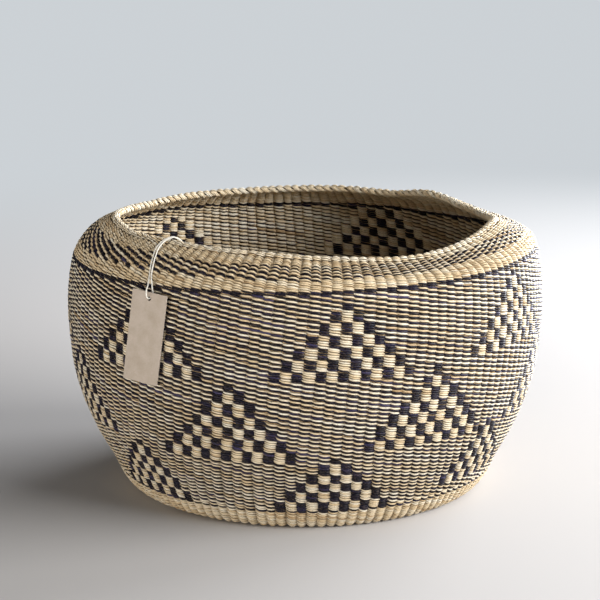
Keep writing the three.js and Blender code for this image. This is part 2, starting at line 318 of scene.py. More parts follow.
def grassColourGroup():
    # Colour of a strand from its tone, 0 to 1, between a dark, a middle and a light shade
    tree, given, result = newGroup(
        "grassColour",
        [("Tone", "NodeSocketFloat", 0.5), ("Fibre", "NodeSocketFloat", 0.5),
         ("Fibre Amount", "NodeSocketFloat", 0.3),
         ("Dark", "NodeSocketColor", None), ("Middle", "NodeSocketColor", None),
         ("Light", "NodeSocketColor", None)],
        [("Color", "NodeSocketColor")],
    )
    centred = calculate(tree, "SUBTRACT", given["Fibre"], 0.5)
    share = calculate(tree, "MULTIPLY_ADD", centred, given["Fibre Amount"], given["Tone"])
    low = mixColours(tree, mapRange(tree, share, 0.0, 0.5), given["Dark"], given["Middle"])
    whole = mixColours(tree, mapRange(tree, share, 0.5, 1.0), low, given["Light"])
    tree.links.new(whole, result["Color"])
    return tree


fibreTree = fibreGroup()
colourTree = grassColourGroup()

grass = {
    "natural": [(0.46, 0.29, 0.14, 1), (0.86, 0.68, 0.43, 1), (0.98, 0.91, 0.75, 1)],
    "dyed": [(0.002, 0.002, 0.005, 1), (0.006, 0.0055, 0.017, 1), (0.062, 0.054, 0.135, 1)],
    "naturalFleck": 0.65,        # how much the flecks take the dark brown of the painted shade
    "dyedFleck": 0.45,
    "dyedFleckColour": (0.20, 0.14, 0.10, 1),
    # Colour of the painted shade in the crevices between strands and at their ends; the flecks on natural
    # straw take it too
    "paintedShade": (0.055, 0.030, 0.012, 1),
    "naturalRoughness": 0.55,
    "dyedRoughness": 0.34,
    "specular": 0.16,
    "fibreAmount": 1.1,
    "fibreLength": 0.007,
    "fibreWidth": 0.00028,
    "bump": 0.35,
    "bumpHeight": 0.00012,
}


def newMaterial(name):
    material = bpy.data.materials.new(name)
    material.use_nodes = True
    tree = material.node_tree
    return material, tree, tree.nodes["Principled BSDF"]


def strandFibres(tree, finish):
    inputs = {"Place": attribute(tree, "place", "Vector"), "Length": finish["fibreLength"],
              "Width": finish["fibreWidth"]}
    return addNode(tree, "ShaderNodeGroup", inputs, node_tree=fibreTree).outputs


def strandColour(tree, fibre, kind):
    inputs = {"Tone": attribute(tree, "tone"), "Fibre": fibre["Fibre"], "Fibre Amount": grass["fibreAmount"],
              **dict(zip(("Dark", "Middle", "Light"), grass[kind]))}
    return addNode(tree, "ShaderNodeGroup", inputs, node_tree=colourTree).outputs["Color"]


def grassMaterial(name, dyedToo=True):
    material, tree, shader = newMaterial(name)
    fibre = strandFibres(tree, grass)
    # Flecks, the straw's own specks, and the painted shade in the crevices darken the straw, whichever is
    # stronger
    spots = calculate(tree, "MULTIPLY", fibre["Fleck"], grass["naturalFleck"])
    shade = calculate(tree, "MAXIMUM", spots, attribute(tree, "paintedShade"))
    colour = mixColours(tree, shade, strandColour(tree, fibre, "natural"), grass["paintedShade"])
    shader.inputs["Roughness"].default_value = grass["naturalRoughness"]
    shader.inputs["Specular IOR Level"].default_value = grass["specular"]
    if dyedToo:
        dye = attribute(tree, "dye")
        bare = calculate(tree, "MULTIPLY", fibre["Fleck"], grass["dyedFleck"])
        dark = mixColours(tree, bare, strandColour(tree, fibre, "dyed"), grass["dyedFleckColour"])
        colour = mixColours(tree, dye, colour, dark)
        gloss = mapRange(tree, dye, 0.0, 1.0, grass["naturalRoughness"], grass["dyedRoughness"])
        tree.links.new(gloss, shader.inputs["Roughness"])
    tree.links.new(colour, shader.inputs["Base Color"])
    roughen(tree, shader, fibre["Fibre"], grass["bump"], grass["bumpHeight"])
    return material


wovenGrass = grassMaterial("wovenGrass")
plainGrass = grassMaterial("plainGrass", dyedToo=False)


# String, two plies twisted, doubled through the hole of the tag

string = {
    "azimuth": -40.0,
    "diameter": 0.0014,
    "route": [                   # sideways, outward and up at the string's azimuth
        (0.0075, 0.1930, 0.2476), (0.0073, 0.1911, 0.2445), (0.0070, 0.1877, 0.2433),
        (0.0065, 0.1839, 0.2450), (0.0057, 0.1811, 0.2489), (0.0047, 0.1802, 0.2530),
        (0.0031, 0.1814, 0.2574), (0.0000, 0.1858, 0.2608), (-0.0036, 0.1912, 0.2596),
        (-0.0062, 0.1966, 0.2562), (-0.0052, 0.2032, 0.2526), (-0.0020, 0.2102, 0.2474),
        (0.0012, 0.2172, 0.2394), (0.0038, 0.2219, 0.2310), (0.0094, 0.2298, 0.2250),
        (0.0125, 0.2349, 0.2218), (0.0134, 0.2363, 0.2182), (0.0134, 0.2352, 0.2148),
        (0.0133, 0.2321, 0.2134), (0.0132, 0.2291, 0.2145), (0.0131, 0.2275, 0.2176),
        (0.0126, 0.2275, 0.2216), (0.0098, 0.2251, 0.2260), (0.0062, 0.2218, 0.2310),
        (0.0037, 0.2171, 0.2394), (0.0008, 0.2103, 0.2474), (-0.0022, 0.2034, 0.2526),
        (-0.0036, 0.1968, 0.2562), (-0.0013, 0.1913, 0.2596), (0.0023, 0.1859, 0.2608),
        (0.0053, 0.1815, 0.2574), (0.0069, 0.1802, 0.2530), (0.0078, 0.1811, 0.2489),
        (0.0086, 0.1839, 0.2450), (0.0092, 0.1877, 0.2433), (0.0095, 0.1911, 0.2445),
        (0.0097, 0.1930, 0.2476),
    ],
    "bendPoint": 13,             # point where the string leaves the shoulder
    "blendReach": 0.006,         # stretch each way from there
    "curveSteps": 40,            # between two points of the route
    "ringStep": 0.0004,
    "sides": 12,
    "plyDepth": 0.32,            # how deep the groove between the plies is, as a share of a ply
    "twist": 0.0042,             # length of one whole turn of the plies
    "colour": (0.80, 0.77, 0.70, 1),
    "shadowColour": (0.55, 0.51, 0.44, 1),
    "roughness": 0.85,
    "fibreLength": 0.0015,
    "fibreWidth": 0.00012,
    "fibreSlant": 0.5,           # how far the fibres wind round for each metre along
    "bump": 0.5,
    "bumpHeight": 0.0001,
}


def aroundAxis(points, degrees):
    turn = np.array(Matrix.Rotation(math.radians(degrees), 3, "Z"))
    return np.asarray(points) @ turn.T


def stringLine():
    route = np.array([(x, -outward, up) for x, outward, up in string["route"]])
    return aroundAxis(route, string["azimuth"])


def sweepFrames(line):
    # Directions beside and above a line, carried along it without twist
    tangents = np.gradient(line, axis=0)
    tangents /= np.linalg.norm(tangents, axis=1)[:, None]
    beside = np.cross(tangents[0], (0, 0, 1))
    sides, tops = [], []
    for tangent in tangents:
        beside = beside - tangent * (beside @ tangent)
        beside = beside / np.linalg.norm(beside)
        sides.append(beside)
        tops.append(np.cross(tangent, beside))
    return np.array(sides), np.array(tops)


def resampled(line, step):
    along = distancesAlong(line)
    even = np.linspace(0, along[-1], int(round(along[-1] / step)) + 1)
    return np.stack([np.interp(even, along, line[:, k]) for k in range(3)], -1), even


def tubeRings(line, radius, turn):
    # Points round a line, by ring and side
    beside, above = sweepFrames(line)
    return (line[:, None]
            + beside[:, None] * (radius * np.cos(turn))[..., None]
            + above[:, None] * (radius * np.sin(turn))[..., None])


def stringMaterial():
    material, tree, shader = newMaterial("cottonString")
    colour = mixColours(tree, attribute(tree, "groove"), string["shadowColour"], string["colour"])
    tree.links.new(colour, shader.inputs["Base Color"])
    shader.inputs["Roughness"].default_value = string["roughness"]
    roughen(tree, shader, strandFibres(tree, string)["Fibre"], string["bump"], string["bumpHeight"])
    return material


def makeString():
    points = stringLine()
    line, along = resampled(smoothCurve(points, string["curveSteps"]), string["ringStep"])
    sides = string["sides"]
    turn = np.arange(sides) / sides * 2 * np.pi
    twist = along / string["twist"] * 2 * np.pi
    ply = np.abs(np.cos(turn - twist[:, None]))
    radius = string["diameter"] / 2 * (1 - string["plyDepth"] * (1 - ply) ** 2)
    corners, sizes, _, _ = tubeFaces(1, len(line), sides, False)
    across = turn * string["diameter"] / 2 + string["fibreSlant"] * along[:, None]
    values = {"groove": np.sqrt(ply).reshape(-1), "place": fibrePlace(along[:, None], across, 0.0)}
    piece = newPiece("string", tubeRings(line, radius, turn), corners, sizes, stringMaterial(), None, values)
    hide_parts("string_strand_left", "string_loop", "string_strand_right")
    start, end = points[string["bendPoint"]], points[-1 - string["bendPoint"]]
    return piece, line, along[-1], (start + end) / 2


stringPiece, stringPath, stringLength, stringBend = makeString()
print("string twisted, length", round(float(stringLength), 4))


# Hang tag, a plain card with a hole

tag = {
    "edgeRound": 0.00012,
    "edgeSegments": 2,
    "colour": (0.50, 0.425, 0.36, 1),
    "fleckColour": (0.40, 0.33, 0.26, 1),
    "cloudScale": 90.0,
    "cloudDetail": 3.0,
    "fleckScale": 1500.0,
    "fleckDetail": 2.0,
    "fleckFrom": 0.12,
    "fleckTo": 0.38,
    "roughness": 0.82,
    "bump": 0.25,
    "bumpHeight": 0.00008,
}


def cardMaterial():
    material, tree, shader = newMaterial("plainCard")
    place = addNode(tree, "ShaderNodeTexCoord").outputs["Object"]
    cloud = noise(tree, place, tag["cloudScale"], tag["cloudDetail"])
    fleck = noise(tree, place, tag["fleckScale"], tag["fleckDetail"])
    share = mapRange(tree, calculate(tree, "MULTIPLY", cloud, fleck), tag["fleckFrom"], tag["fleckTo"])
    tree.links.new(mixColours(tree, share, tag["fleckColour"], tag["colour"]), shader.inputs["Base Color"])
    shader.inputs["Roughness"].default_value = tag["roughness"]
    roughen(tree, shader, fleck, tag["bump"], tag["bumpHeight"])
    return material


def finishTag():
    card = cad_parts["hang_tag"]
    for slot in card.material_slots:
        slot.material = cardMaterial()
    soften = card.modifiers.new("edges", "BEVEL")
    soften.width = tag["edgeRound"]
    soften.segments = tag["edgeSegments"]
    soften.limit_method = "ANGLE"
    return card


tagCard = finishTag()
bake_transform(stringPiece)
print("tag hung")


# Weave of the wall. Each course turns one strand over every stake, and each pass over a stake
# is a stitch of its own, which dips between the stakes and drops one course to the right.

weave = {
    "columns": 140,
    "columnZero": -0.535,        # azimuth of column 0 at the shoulder
    "shoulderAlong": 0.231,
    "columnLean": 20.0,          # degrees that a column turns for each metre up the wall
    "leanFrom": 0.085,
    "frontSpread": 4.4,          # degrees that the columns shift at the foot, wider apart in
                                 # front and behind
    "spreadTo": 0.115,           # up the wall
    "spreadRise": 1.5,           # how fast that shift grows toward the foot
    "columnWobble": 0.14,        # degrees
    "wanders": [(1, 0.043), (0.7, 0.019)],          # share and length of each wave up a column
    "courseWobble": 0.0004,
    "sways": [(1, 3, 60), (0.6, 8, -110)],          # share, waves round a course, and turn up the wall
    "loose": {                   # how uneven the stitches are
        "place": 0.105,          # of a course's height
        "height": 0.105,         # of its own, as the drop
        "drop": 0.175,
        "reach": 0.035,          # of a column
        "crest": 0.00014,        # metres
    },
    "strandHalf": 0.0009,        # half the thickness of a strand
    "maxFaces": 195000,          # triangles in one piece
}

# How the strands lie: depth of the crest over a stake, half height as a share of the course,
# how much deeper the ends of a stitch lie, and how far it reaches as a share of its column
strandLay = {
    "outer": {"natural": {"crest": 0.0007, "fullness": 0.51, "relief": 0.0014, "reach": 1.12},
              "dyed": {"crest": 0.0008, "fullness": 0.55, "relief": 0.0014, "reach": 1.08}},
    "inner": {"natural": {"crest": 0.0007, "fullness": 0.70, "relief": 0.0017, "reach": 1.08},
              "dyed": {"crest": 0.0011, "fullness": 0.28, "relief": 0.0015, "reach": 1.05}},
    "cellFullness": 0.515,       # where the courses above or below have the same colour
}

bands = [                        # from the foot up, with the colour and the relief of each band's courses
    {"node": "foot_band", "width": 0.025, "courses": 12, "pattern": "natural", "relief": 1.45},
    {"node": "foot_line", "width": 0.0021, "courses": 1, "pattern": "dyed", "relief": 1.2},
    {"node": "lower_triangle_row", "width": 0.0636, "courses": 30, "pattern": "striped", "relief": 1.0},
    {"node": "middle_triangle_row", "width": 0.0758, "courses": 36, "pattern": "striped", "relief": 1.0},
    {"node": "upper_triangle_row", "courses": 36, "pattern": "striped", "relief": 1.0},
    {"node": "shoulder_line", "width": 0.0036, "courses": 2, "pattern": "dyed", "relief": 1.1},
    {"node": "shoulder_band", "width": 0.0115, "courses": 6, "pattern": "natural", "relief": 1.4},
    {"node": "striped_band", "width": 0.0205, "courses": 10, "pattern": "natural", "relief": 1.6,
     "slot": "patterned_straw"},
    {"node": "rim_band", "width": 0.0065, "courses": 3, "pattern": "natural", "relief": 1.5},
]
bandAt = {band["node"]: band for band in bands}
bandAt["upper_triangle_row"]["width"] = wallLength - sum(band.get("width", 0) for band in bands)

shoulderStripes = {              # outside, where the stripes round the shoulder start and end up the wall
    "azimuths": [-90, -22, -12, 0, 8, 19, 31, 43, 54, 70, 110, 180, 270],
    "lower": [0.254, 0.254, 0.2548, 0.2553, 0.256, 0.259, 0.2605, 0.2623, 0.262, 0.259, 0.256, 0.255,
              0.254],
    "upper": [0.270, 0.2695, 0.271, 0.2736, 0.2755, 0.2796, 0.2815, 0.2796, 0.277, 0.275, 0.273, 0.272,
              0.270],
}

innerLine = {                    # inside, where the dark line runs, with natural straw above it
    "azimuths": [0, 90, 125, 142, 156, 176, 190, 200, 212, 226, 242, 270, 300, 360],
    "along": [0.243, 0.240, 0.2388, 0.239, 0.2426, 0.2458, 0.247, 0.2494, 0.2535, 0.2556, 0.2558, 0.252,
              0.246, 0.243],
    "half": 0.0021,
}

# Rows of triangles: how many courses each row of cells takes from the apex down, the column of
# each apex, and how many courses each triangle stands higher than the foot of its band
triangles = {
    "upper_triangle_row": {"cells": [3, 5, 5, 5, 5, 5, 5], "columns": [-15, 4, 23, 43, 62, 85, 105],
                           "lifts": [-1, -1, 2, 0, 10, 8, 1]},
    "middle_triangle_row": {"cells": [4, 5, 6, 5, 5, 6, 5], "columns": [-6, 13, 30, 53, 74, 94, 114],
                            "lifts": [-2, 2, 3, 1, 0, 0, 0]},
    "lower_triangle_row": {"cells": [3, 6, 5, 5, 6, 5], "columns": [-16, 4, 21, 43, 63, 83, 102],
                           "lifts": [0, 0, 6, 0, 0, 0, 0]},
}


def layCourses():
    # Height and place of every course up the wall, and whether its stitches are dyed
    along, height, dyed = [], [], []
    start = 0
    for band in bands:
        band["first"] = len(along)
        band["start"] = start
        step = band["width"] / band["courses"]
        for course in range(band["courses"]):
            along.append(start + (course + 0.5) * step)
            height.append(step)
            parity = (len(along) + np.arange(weave["columns"])) % 2
            dyed.append({"natural": parity * 0, "dyed": parity * 0 + 1, "striped": parity}[band["pattern"]])
        start += band["width"]
    return np.array(along), np.array(height), np.array(dyed, float)


def drawShoulder(dyed):
    column = np.arange(weave["columns"])
    for course, along in enumerate(courseAlong):
        azimuth = (columnAzimuth(column, along) + 90) % 360 - 90
        lower, upper = (np.interp(azimuth, shoulderStripes["azimuths"], shoulderStripes[key])
                        for key in ("lower", "upper"))
        striped = (along > lower) & (along < upper)
        dyed[course, striped] = (course + column[striped]) % 2


def drawInside(dyed):
    # The same strands from within: where a dyed one shows outside, a natural one shows here
    column = np.arange(weave["columns"])
    inner = dyed.copy()
    for band in bands:
        if band["pattern"] == "striped":
            rows = slice(band["first"], band["first"] + band["courses"])
            inner[rows] = 1 - dyed[rows]
    for course, along in enumerate(courseAlong):
        azimuth = columnAzimuth(column, along) % 360
        above = along - np.interp(azimuth, innerLine["azimuths"], innerLine["along"])
        inner[course, above > innerLine["half"]] = 0
        inner[course, np.abs(above) <= innerLine["half"]] = 1
        striped = (above < -innerLine["half"]) & (along > bandAt["shoulder_line"]["start"])
        inner[course, striped] = (course + column[striped]) % 2
    return inner


def drawTriangles(dyed):
    ceiling = bandAt["shoulder_line"]["first"]
    for band in bands:
        pattern = triangles.get(band["node"], {"columns": [], "lifts": []})
        for middle, lift in zip(pattern["columns"], pattern["lifts"]):
            top = band["first"] + lift + sum(pattern["cells"])
            for row, courses in enumerate(pattern["cells"]):
                offset = np.arange(-row, row + 1)
                column = (middle + offset) % weave["columns"]
                dyed[top - courses:min(top, ceiling), column] = (row + offset + 1) % 2
                top -= courses
    # The first course of the lower row is natural beside the triangles that stand on it
    lower = triangles["lower_triangle_row"]
    reach = len(lower["cells"]) - 1
    plain = np.ones(weave["columns"], bool)
    for middle, lift in zip(lower["columns"], lower["lifts"]):
        plain[(middle + np.arange(-reach, reach + 1)) % weave["columns"]] = lift > 0
    dyed[bandAt["lower_triangle_row"]["first"], plain] = 0


# Where the waves of each column start
columnWaves = dice.uniform(0, 2 * np.pi, (3, weave["columns"]))


def columnAzimuth(column, along):
    # Azimuth of the middle of a column, which leans and wanders a little up the wall
    whole = column % weave["columns"]
    lean = weave["columnLean"] * (np.maximum(along, weave["leanFrom"]) - weave["shoulderAlong"])
    azimuth = column * 360 / weave["columns"] + weave["columnZero"] + lean
    low = np.clip(1 - along / weave["spreadTo"], 0, 1)
    spread = np.sin(np.radians(2 * azimuth)) * np.minimum(low * weave["spreadRise"], 1)
    wander = sum(share * np.sin(along / length + waves[whole])
                 for (share, length), waves in zip(weave["wanders"], columnWaves))
    return azimuth + weave["frontSpread"] * spread + weave["columnWobble"] * wander


courseAlong, courseHeight, courseDyed = layCourses()
drawTriangles(courseDyed)
drawShoulder(courseDyed)
innerDyed = drawInside(courseDyed)

# Shape of a stitch: places of its rings along it, and its section from one edge over the crest
stitch = {
    "outerRings": [-1.05, -0.72, -0.28, 0.28, 0.72, 1.05],
    "innerRings": [-1.05, -0.6, 0, 0.6, 1.05],
    "outerSection": [(1, 0), (0.74, 0.72), (0, 1), (-0.74, 0.72), (-1, 0), (0, -0.8)],
    "innerSection": [(1, 0), (0.55, 0.85), (-0.55, 0.85), (-1, 0), (0, -0.8)],
    "endTaper": 0.2,
    "taperPower": 2.5,
    "dipTo": 1.2,                # where a stitch stops dipping, with its end at 1
    "dipPower": 0.9,
    "steepness": 0.55,           # share of a stitch's drop that lies in the grooves beside the stake
    "fibreSlant": 0.25,
    "outerEdgeShade": 0.85,      # how dark the painted shade in the crevices along a strand is
    "innerEdgeShade": 0.5,
    "edgeFrom": 0.35,            # where that shade starts, from the crest to the edge
    "endShade": 0.3,             # and how dark the painted shade is at its ends
    "endFrom": 0.5,
}

# Place of a stitch or a straw in its own patch of the texture
patch = {"margin": 0.03, "share": 0.94, "endBulge": 0.02}


def patchUv(ringOf, sideOf, rings, sides):
    ends = np.arange(len(ringOf)) >= (rings - 1) * sides * 4
    bulge = patch["endBulge"] * ends * np.sin(sideOf * np.pi / sides)
    return (patch["margin"] + patch["share"] * ringOf / (rings - 1) + bulge,
            patch["margin"] + patch["share"] * sideOf / sides)


def stitchPoints(at, side, surface):
    # Points of every stitch, by stitch, ring and side, their places for the fibres, and the painted shade in
    # their crevices
    across, out = np.array(stitch[side + "Section"]).T
    one = {key: value[:, None, None] for key, value in at.items()}
    t = np.array(stitch[side + "Rings"])[:, None] * one["reach"]
    taper = 1 - stitch["endTaper"] * np.abs(t) ** stitch["taperPower"]
    fall = (1 - stitch["steepness"]) * t + stitch["steepness"] * t ** 3
    azimuth = one["azimuth"] + one["halfAngle"] * t
    along = one["along"] - one["drop"] * fall + one["halfHeight"] * taper * across
    reach = np.clip(np.abs(t), 0, stitch["dipTo"])
    dip = one["relief"] * (1 - np.cos(reach * np.pi / 2)) ** stitch["dipPower"]
    depth = one["crest"] + dip - weave["strandHalf"] * taper * out
    if side == "inner":
        thin = np.clip((along - bowl["thinFrom"]) / (wallLength - bowl["thinFrom"]), 0, 1)
        depth = bowl["wallThickness"] - bowl["thinBy"] * thin - depth
    points = surface(azimuth, along, depth)
    length = one["radius"] * np.radians(one["halfAngle"]) * t
    width = one["halfHeight"] * across + stitch["fibreSlant"] * length
    # Painted shade: darker toward the edges of a strand and toward its ends, where shade falls between
    # strands
    edge = np.clip((np.abs(across) - stitch["edgeFrom"]) / (1 - stitch["edgeFrom"]), 0, 1)
    end = np.clip((np.abs(t) - stitch["endFrom"]) / (1 - stitch["endFrom"]), 0, 1)
    paintedShade = 1 - (1 - edge * stitch[side + "EdgeShade"]) * (1 - end * stitch["endShade"])
    return points, fibrePlace(length, width, one["number"]), paintedShade.reshape(-1)


def stitchPieces(name, at, side, dyed, node, surface=wallPoint):
    # Stitches by row and column, in as many pieces as maxFaces asks for
    rows, columns = dyed.shape
    rings, sides = len(stitch[side + "Rings"]), len(stitch[side + "Section"])
    faces = 2 * (rings - 1) * sides + 2 * (sides - 2)
    perPiece = max(1, int(weave["maxFaces"] / faces / weave["columns"]))
    count = math.ceil(rows / perPiece)
    edges = np.linspace(0, rows, count + 1).round().astype(int)
    for part, (low, high) in enumerate(zip(edges, edges[1:])):
        some = {key: np.broadcast_to(value, dyed.shape)[low:high].reshape(-1)
                for key, value in {**at, "dye": dyed}.items()}
        points, place, paintedShade = stitchPoints(some, side, surface)
        total = (high - low) * columns
        corners, sizes, ringOf, sideOf = tubeFaces(total, rings, sides, side == "inner")
        u, v = patchUv(ringOf, sideOf, rings, sides)
        row, column = np.divmod(np.arange(total)[:, None], columns)
        uv = np.stack([(column + u) / weave["columns"], (row + v) / (high - low)], -1)
        values = {
            "dye": np.repeat(some["dye"], rings * sides),
            "tone": np.repeat(some["tone"], rings * sides),
            "place": place,
            "paintedShade": paintedShade,
        }
        label = f"{name}_{part + 1}" if count > 1 else name
        piece = newPiece(label, points, corners, sizes, wovenGrass, uv, values)
        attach(piece, "basket")
        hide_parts(node)


weaveTone = {
    "naturalMean": 0.69,
    "naturalSpread": 0.17,
    "dyedMean": 0.26,
    "dyedSpread": 0.22,
    "plainBands": -0.17,         # change of the mean in the natural bands
    "strandRun": 5,              # stakes that one straw passes before the next takes over
    "strandShare": 0.85,         # of the spread, from the straw
    "ownShare": 0.4,             # and from the stitch
    "least": 0.02,
    "most": 0.98,
}


def strandTone(shape, kind="natural", shift=0, slant=1):
    # Tone of each stitch: mostly its strand's, which goes down a course for each stake that it
    # passes and runs over several stakes, and partly its own
    rows, columns = shape
    run = weaveTone["strandRun"]
    strands = dice.normal(0, 1, (rows + columns, columns // run + 2))
    start = dice.integers(0, run, rows + columns)
    own = dice.normal(0, 1, shape)
    row, column = np.indices(shape)
    number = row + (column if slant > 0 else columns - 1 - column)
    strand = strands[number, (column + start[number]) // run]
    mixed = weaveTone["strandShare"] * strand + weaveTone["ownShare"] * own
    tone = weaveTone[kind + "Mean"] + shift + weaveTone[kind + "Spread"] * mixed
    return np.clip(tone, weaveTone["least"], weaveTone["most"])


def looseStitches(shape, loose, halfHeight, crest, reach):
    # What is a little uneven from stitch to stitch, and the number that sets its fibres apart
    return {
        "halfHeight": halfHeight * (1 + loose["height"] * dice.normal(0, 1, shape)),
        "crest": crest + loose["crest"] * dice.normal(0, 1, shape),
        "reach": reach + loose["reach"] * dice.normal(0, 1, shape),
        "number": dice.uniform(0, fibres["numbers"], shape),
    }


def byDye(dyed, side, key):
    return np.where(dyed > 0.5, strandLay[side]["dyed"][key], strandLay[side]["natural"][key])


def wallStitches(band, side):
    shape = (band["courses"], weave["columns"])
    span = slice(band["first"], band["first"] + band["courses"])
    whole = innerDyed if side == "inner" else courseDyed
    slant = -1 if side == "inner" else 1
    dyed = whole[span]
    beside = np.vstack([whole[:1], whole, whole[-1:]])
    cell = ((beside[:-2] == whole) | (beside[2:] == whole))[span]
    fullness = np.where(cell, strandLay["cellFullness"], byDye(dyed, side, "fullness"))
    column = np.arange(weave["columns"])
    height, level = courseHeight[span][:, None], courseAlong[span][:, None]
    middle = columnAzimuth(column, level)
    sway = sum(share * np.sin(np.radians(waves * middle) + turn * level)
               for share, waves, turn in weave["sways"])
    loose = weave["loose"]
    along = level + weave["courseWobble"] * sway + height * loose["place"] * dice.normal(0, 1, shape)
    shift = weaveTone["plainBands"] if band["pattern"] == "natural" else 0
    tones = [strandTone(shape, kind, shift, slant) for kind in ("natural", "dyed")]
    at = {
        "azimuth": columnAzimuth(column, along),
        "halfAngle": (columnAzimuth(column + 1, along) - columnAzimuth(column - 1, along)) / 4,
        "along": along,
        "drop": slant * height / 2 * (1 + loose["drop"] * dice.normal(0, 1, shape)),
        **looseStitches(shape, loose, height * fullness, byDye(dyed, side, "crest"),
                        byDye(dyed, side, "reach")),
        "relief": byDye(dyed, side, "relief") * (1 if side == "inner" else band["relief"]),
        "radius": np.interp(along, outlineAlong, outlineCurve[:, 0]),
        "tone": np.where(dyed > 0.5, tones[1], tones[0]),
    }
    stitchPieces(f"{band['node']}_{side}", at, side, dyed, band["node"])


for band in bands:
    for side in ("outer", "inner"):
        wallStitches(band, side)
print("wall woven,", len(courseAlong), "courses over", weave["columns"], "stakes")


# Stakes, which stand side by side between the outer and the inner passes

stake = {
    "depth": 0.0031,
    "halfThickness": 0.0010,
    "fill": 0.58,                # half width, as a share of the space between two stakes
    "widest": 3,                 # how many times wider one grows where its neighbours end
    "overrun": 0.001,            # past the first and the last course
    "ringStep": 0.0045,
    "section": [(1, 0), (0.8, 0.75), (0, 1), (-0.8, 0.75), (-1, 0), (-0.8, -0.75), (0, -1), (0.8, -0.75)],
    "fibreHalf": 0.004,          # half width of a stake, for its fibres
    "fibreStep": 3.7,            # from the number of one stake's fibres to the next
    # A dark tone: painted shade for the gaps between the stitches where the stakes show
    "tone": 0.16,
}

floorRings = [                   # inner radius of each ring of the floor, and one stake in how many is left
    {"inner": 0.108, "every": 1},
    {"inner": 0.052, "every": 2},
    {"inner": 0.014, "every": 4},
]


def makeStakes():
    section = np.array(stake["section"])
    sides = len(section)
    inners, everies = ([ring[key] for ring in floorRings] for key in ("inner", "every"))
    parts = []
    start = 0
    for column in range(weave["columns"]):
        inner = next(r["inner"] for r in reversed(floorRings) if column % r["every"] == 0)
        low = inner + stake["overrun"] - bowl["footRadius"]
        steps = int((wallLength - low) / stake["ringStep"])
        along = np.linspace(low, wallLength + stake["overrun"], steps)[:, None]
        radius = np.interp(along, outlineAlong, outlineCurve[:, 0]) + np.minimum(along, 0)
        every = np.select([radius > inner for inner in inners], everies, everies[-1])
        halfAngle = 360 / weave["columns"] * np.minimum(every, stake["widest"]) * stake["fill"]
        points = wallPoint(
            columnAzimuth(column, along) + halfAngle * section[:, 0],
            along,
            stake["depth"] - stake["halfThickness"] * section[:, 1])
        corners, sizes, _, _ = tubeFaces(1, steps, sides, False)
        place = fibrePlace(along, stake["fibreHalf"] * section[:, 0], column * stake["fibreStep"])
        parts.append((points.reshape(-1, 3), corners + start, sizes, place))
        start += steps * sides
    points, corners, sizes, place = (np.concatenate(part) for part in zip(*parts))
    values = {"place": place, "tone": stake["tone"]}
    piece = newPiece("stakes", points, corners, sizes, plainGrass, None, values)
    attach(piece, "basket")
    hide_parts(*[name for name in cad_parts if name.startswith("stake_")])


makeStakes()
print("stakes stood up")


# Floor, woven the same way round fewer and fewer stakes toward the middle

floor = {
    "course": 0.0021,
    "relief": 0.0016,
    "reach": 1.05,
    "placeSpread": 0.0002,
    "loose": {"height": 0.07, "reach": 0.035, "crest": 0.00012},
}


def floorStitches(side):
    outerRadius = bowl["footRadius"]
    for number, ring in enumerate(floorRings):
        columns = weave["columns"] // ring["every"]
        rows = int(round((outerRadius - ring["inner"]) / floor["course"]))
        shape = (rows, columns)
        radius = outerRadius - (np.arange(rows)[:, None] + 0.5) * floor["course"]
        along = radius - bowl["footRadius"] + floor["placeSpread"] * dice.normal(0, 1, shape)
        at = {
            "azimuth": columnAzimuth(np.arange(columns) * ring["every"], along),
            "halfAngle": 180 / columns,
            "along": along,
            "drop": -floor["course"] / 2,
            **looseStitches(shape, floor["loose"], floor["course"] * strandLay["cellFullness"],
                            strandLay["outer"]["natural"]["crest"], floor["reach"]),
            "relief": floor["relief"],
            "radius": radius,
            "tone": strandTone(shape),
        }
        stitchPieces(f"floor_ring_{number + 1}_{side}", at, side, np.zeros(shape), "floor_weave")
        outerRadius = ring["inner"]


floorStitches("outer")
floorStitches("inner")

button = {                       # coil of strand that closes the middle of the floor
    "turns": 7,
    "from": 0.6,                 # radians
    "steps": 40,                 # in a turn
    "sides": 8,
    "radius": 0.00105,
    "depth": 0.0012,
    "tone": 0.55,
    "fibreNumber": 9.0,
}


def floorButton(name, height):
    sides, radius = button["sides"], button["radius"]
    angle = np.linspace(button["from"], button["turns"] * 2 * np.pi, button["turns"] * button["steps"])
    reach = angle / np.pi * radius
    line = np.stack([reach * np.sin(angle), -reach * np.cos(angle), np.full(len(angle), height)], -1)
    turn = np.arange(sides) / sides * 2 * np.pi
    corners, sizes, _, _ = tubeFaces(1, len(line), sides, False)
    place = fibrePlace(distancesAlong(line)[:, None], np.sin(turn) * radius, button["fibreNumber"])
    values = {"tone": button["tone"], "place": place}
    piece = newPiece(name, tubeRings(line, radius, turn), corners, sizes, plainGrass, None, values)
    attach(piece, "basket")
    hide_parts("floor_weave")


floorButton("floor_button_outer", button["depth"])
floorButton("floor_button_inner", bowl["wallThickness"] - button["depth"])
print("floor woven")


# Rolled border: the weft goes on over the outer side of the folded stake ends, and straws are
# wrapped slantwise round their inner side

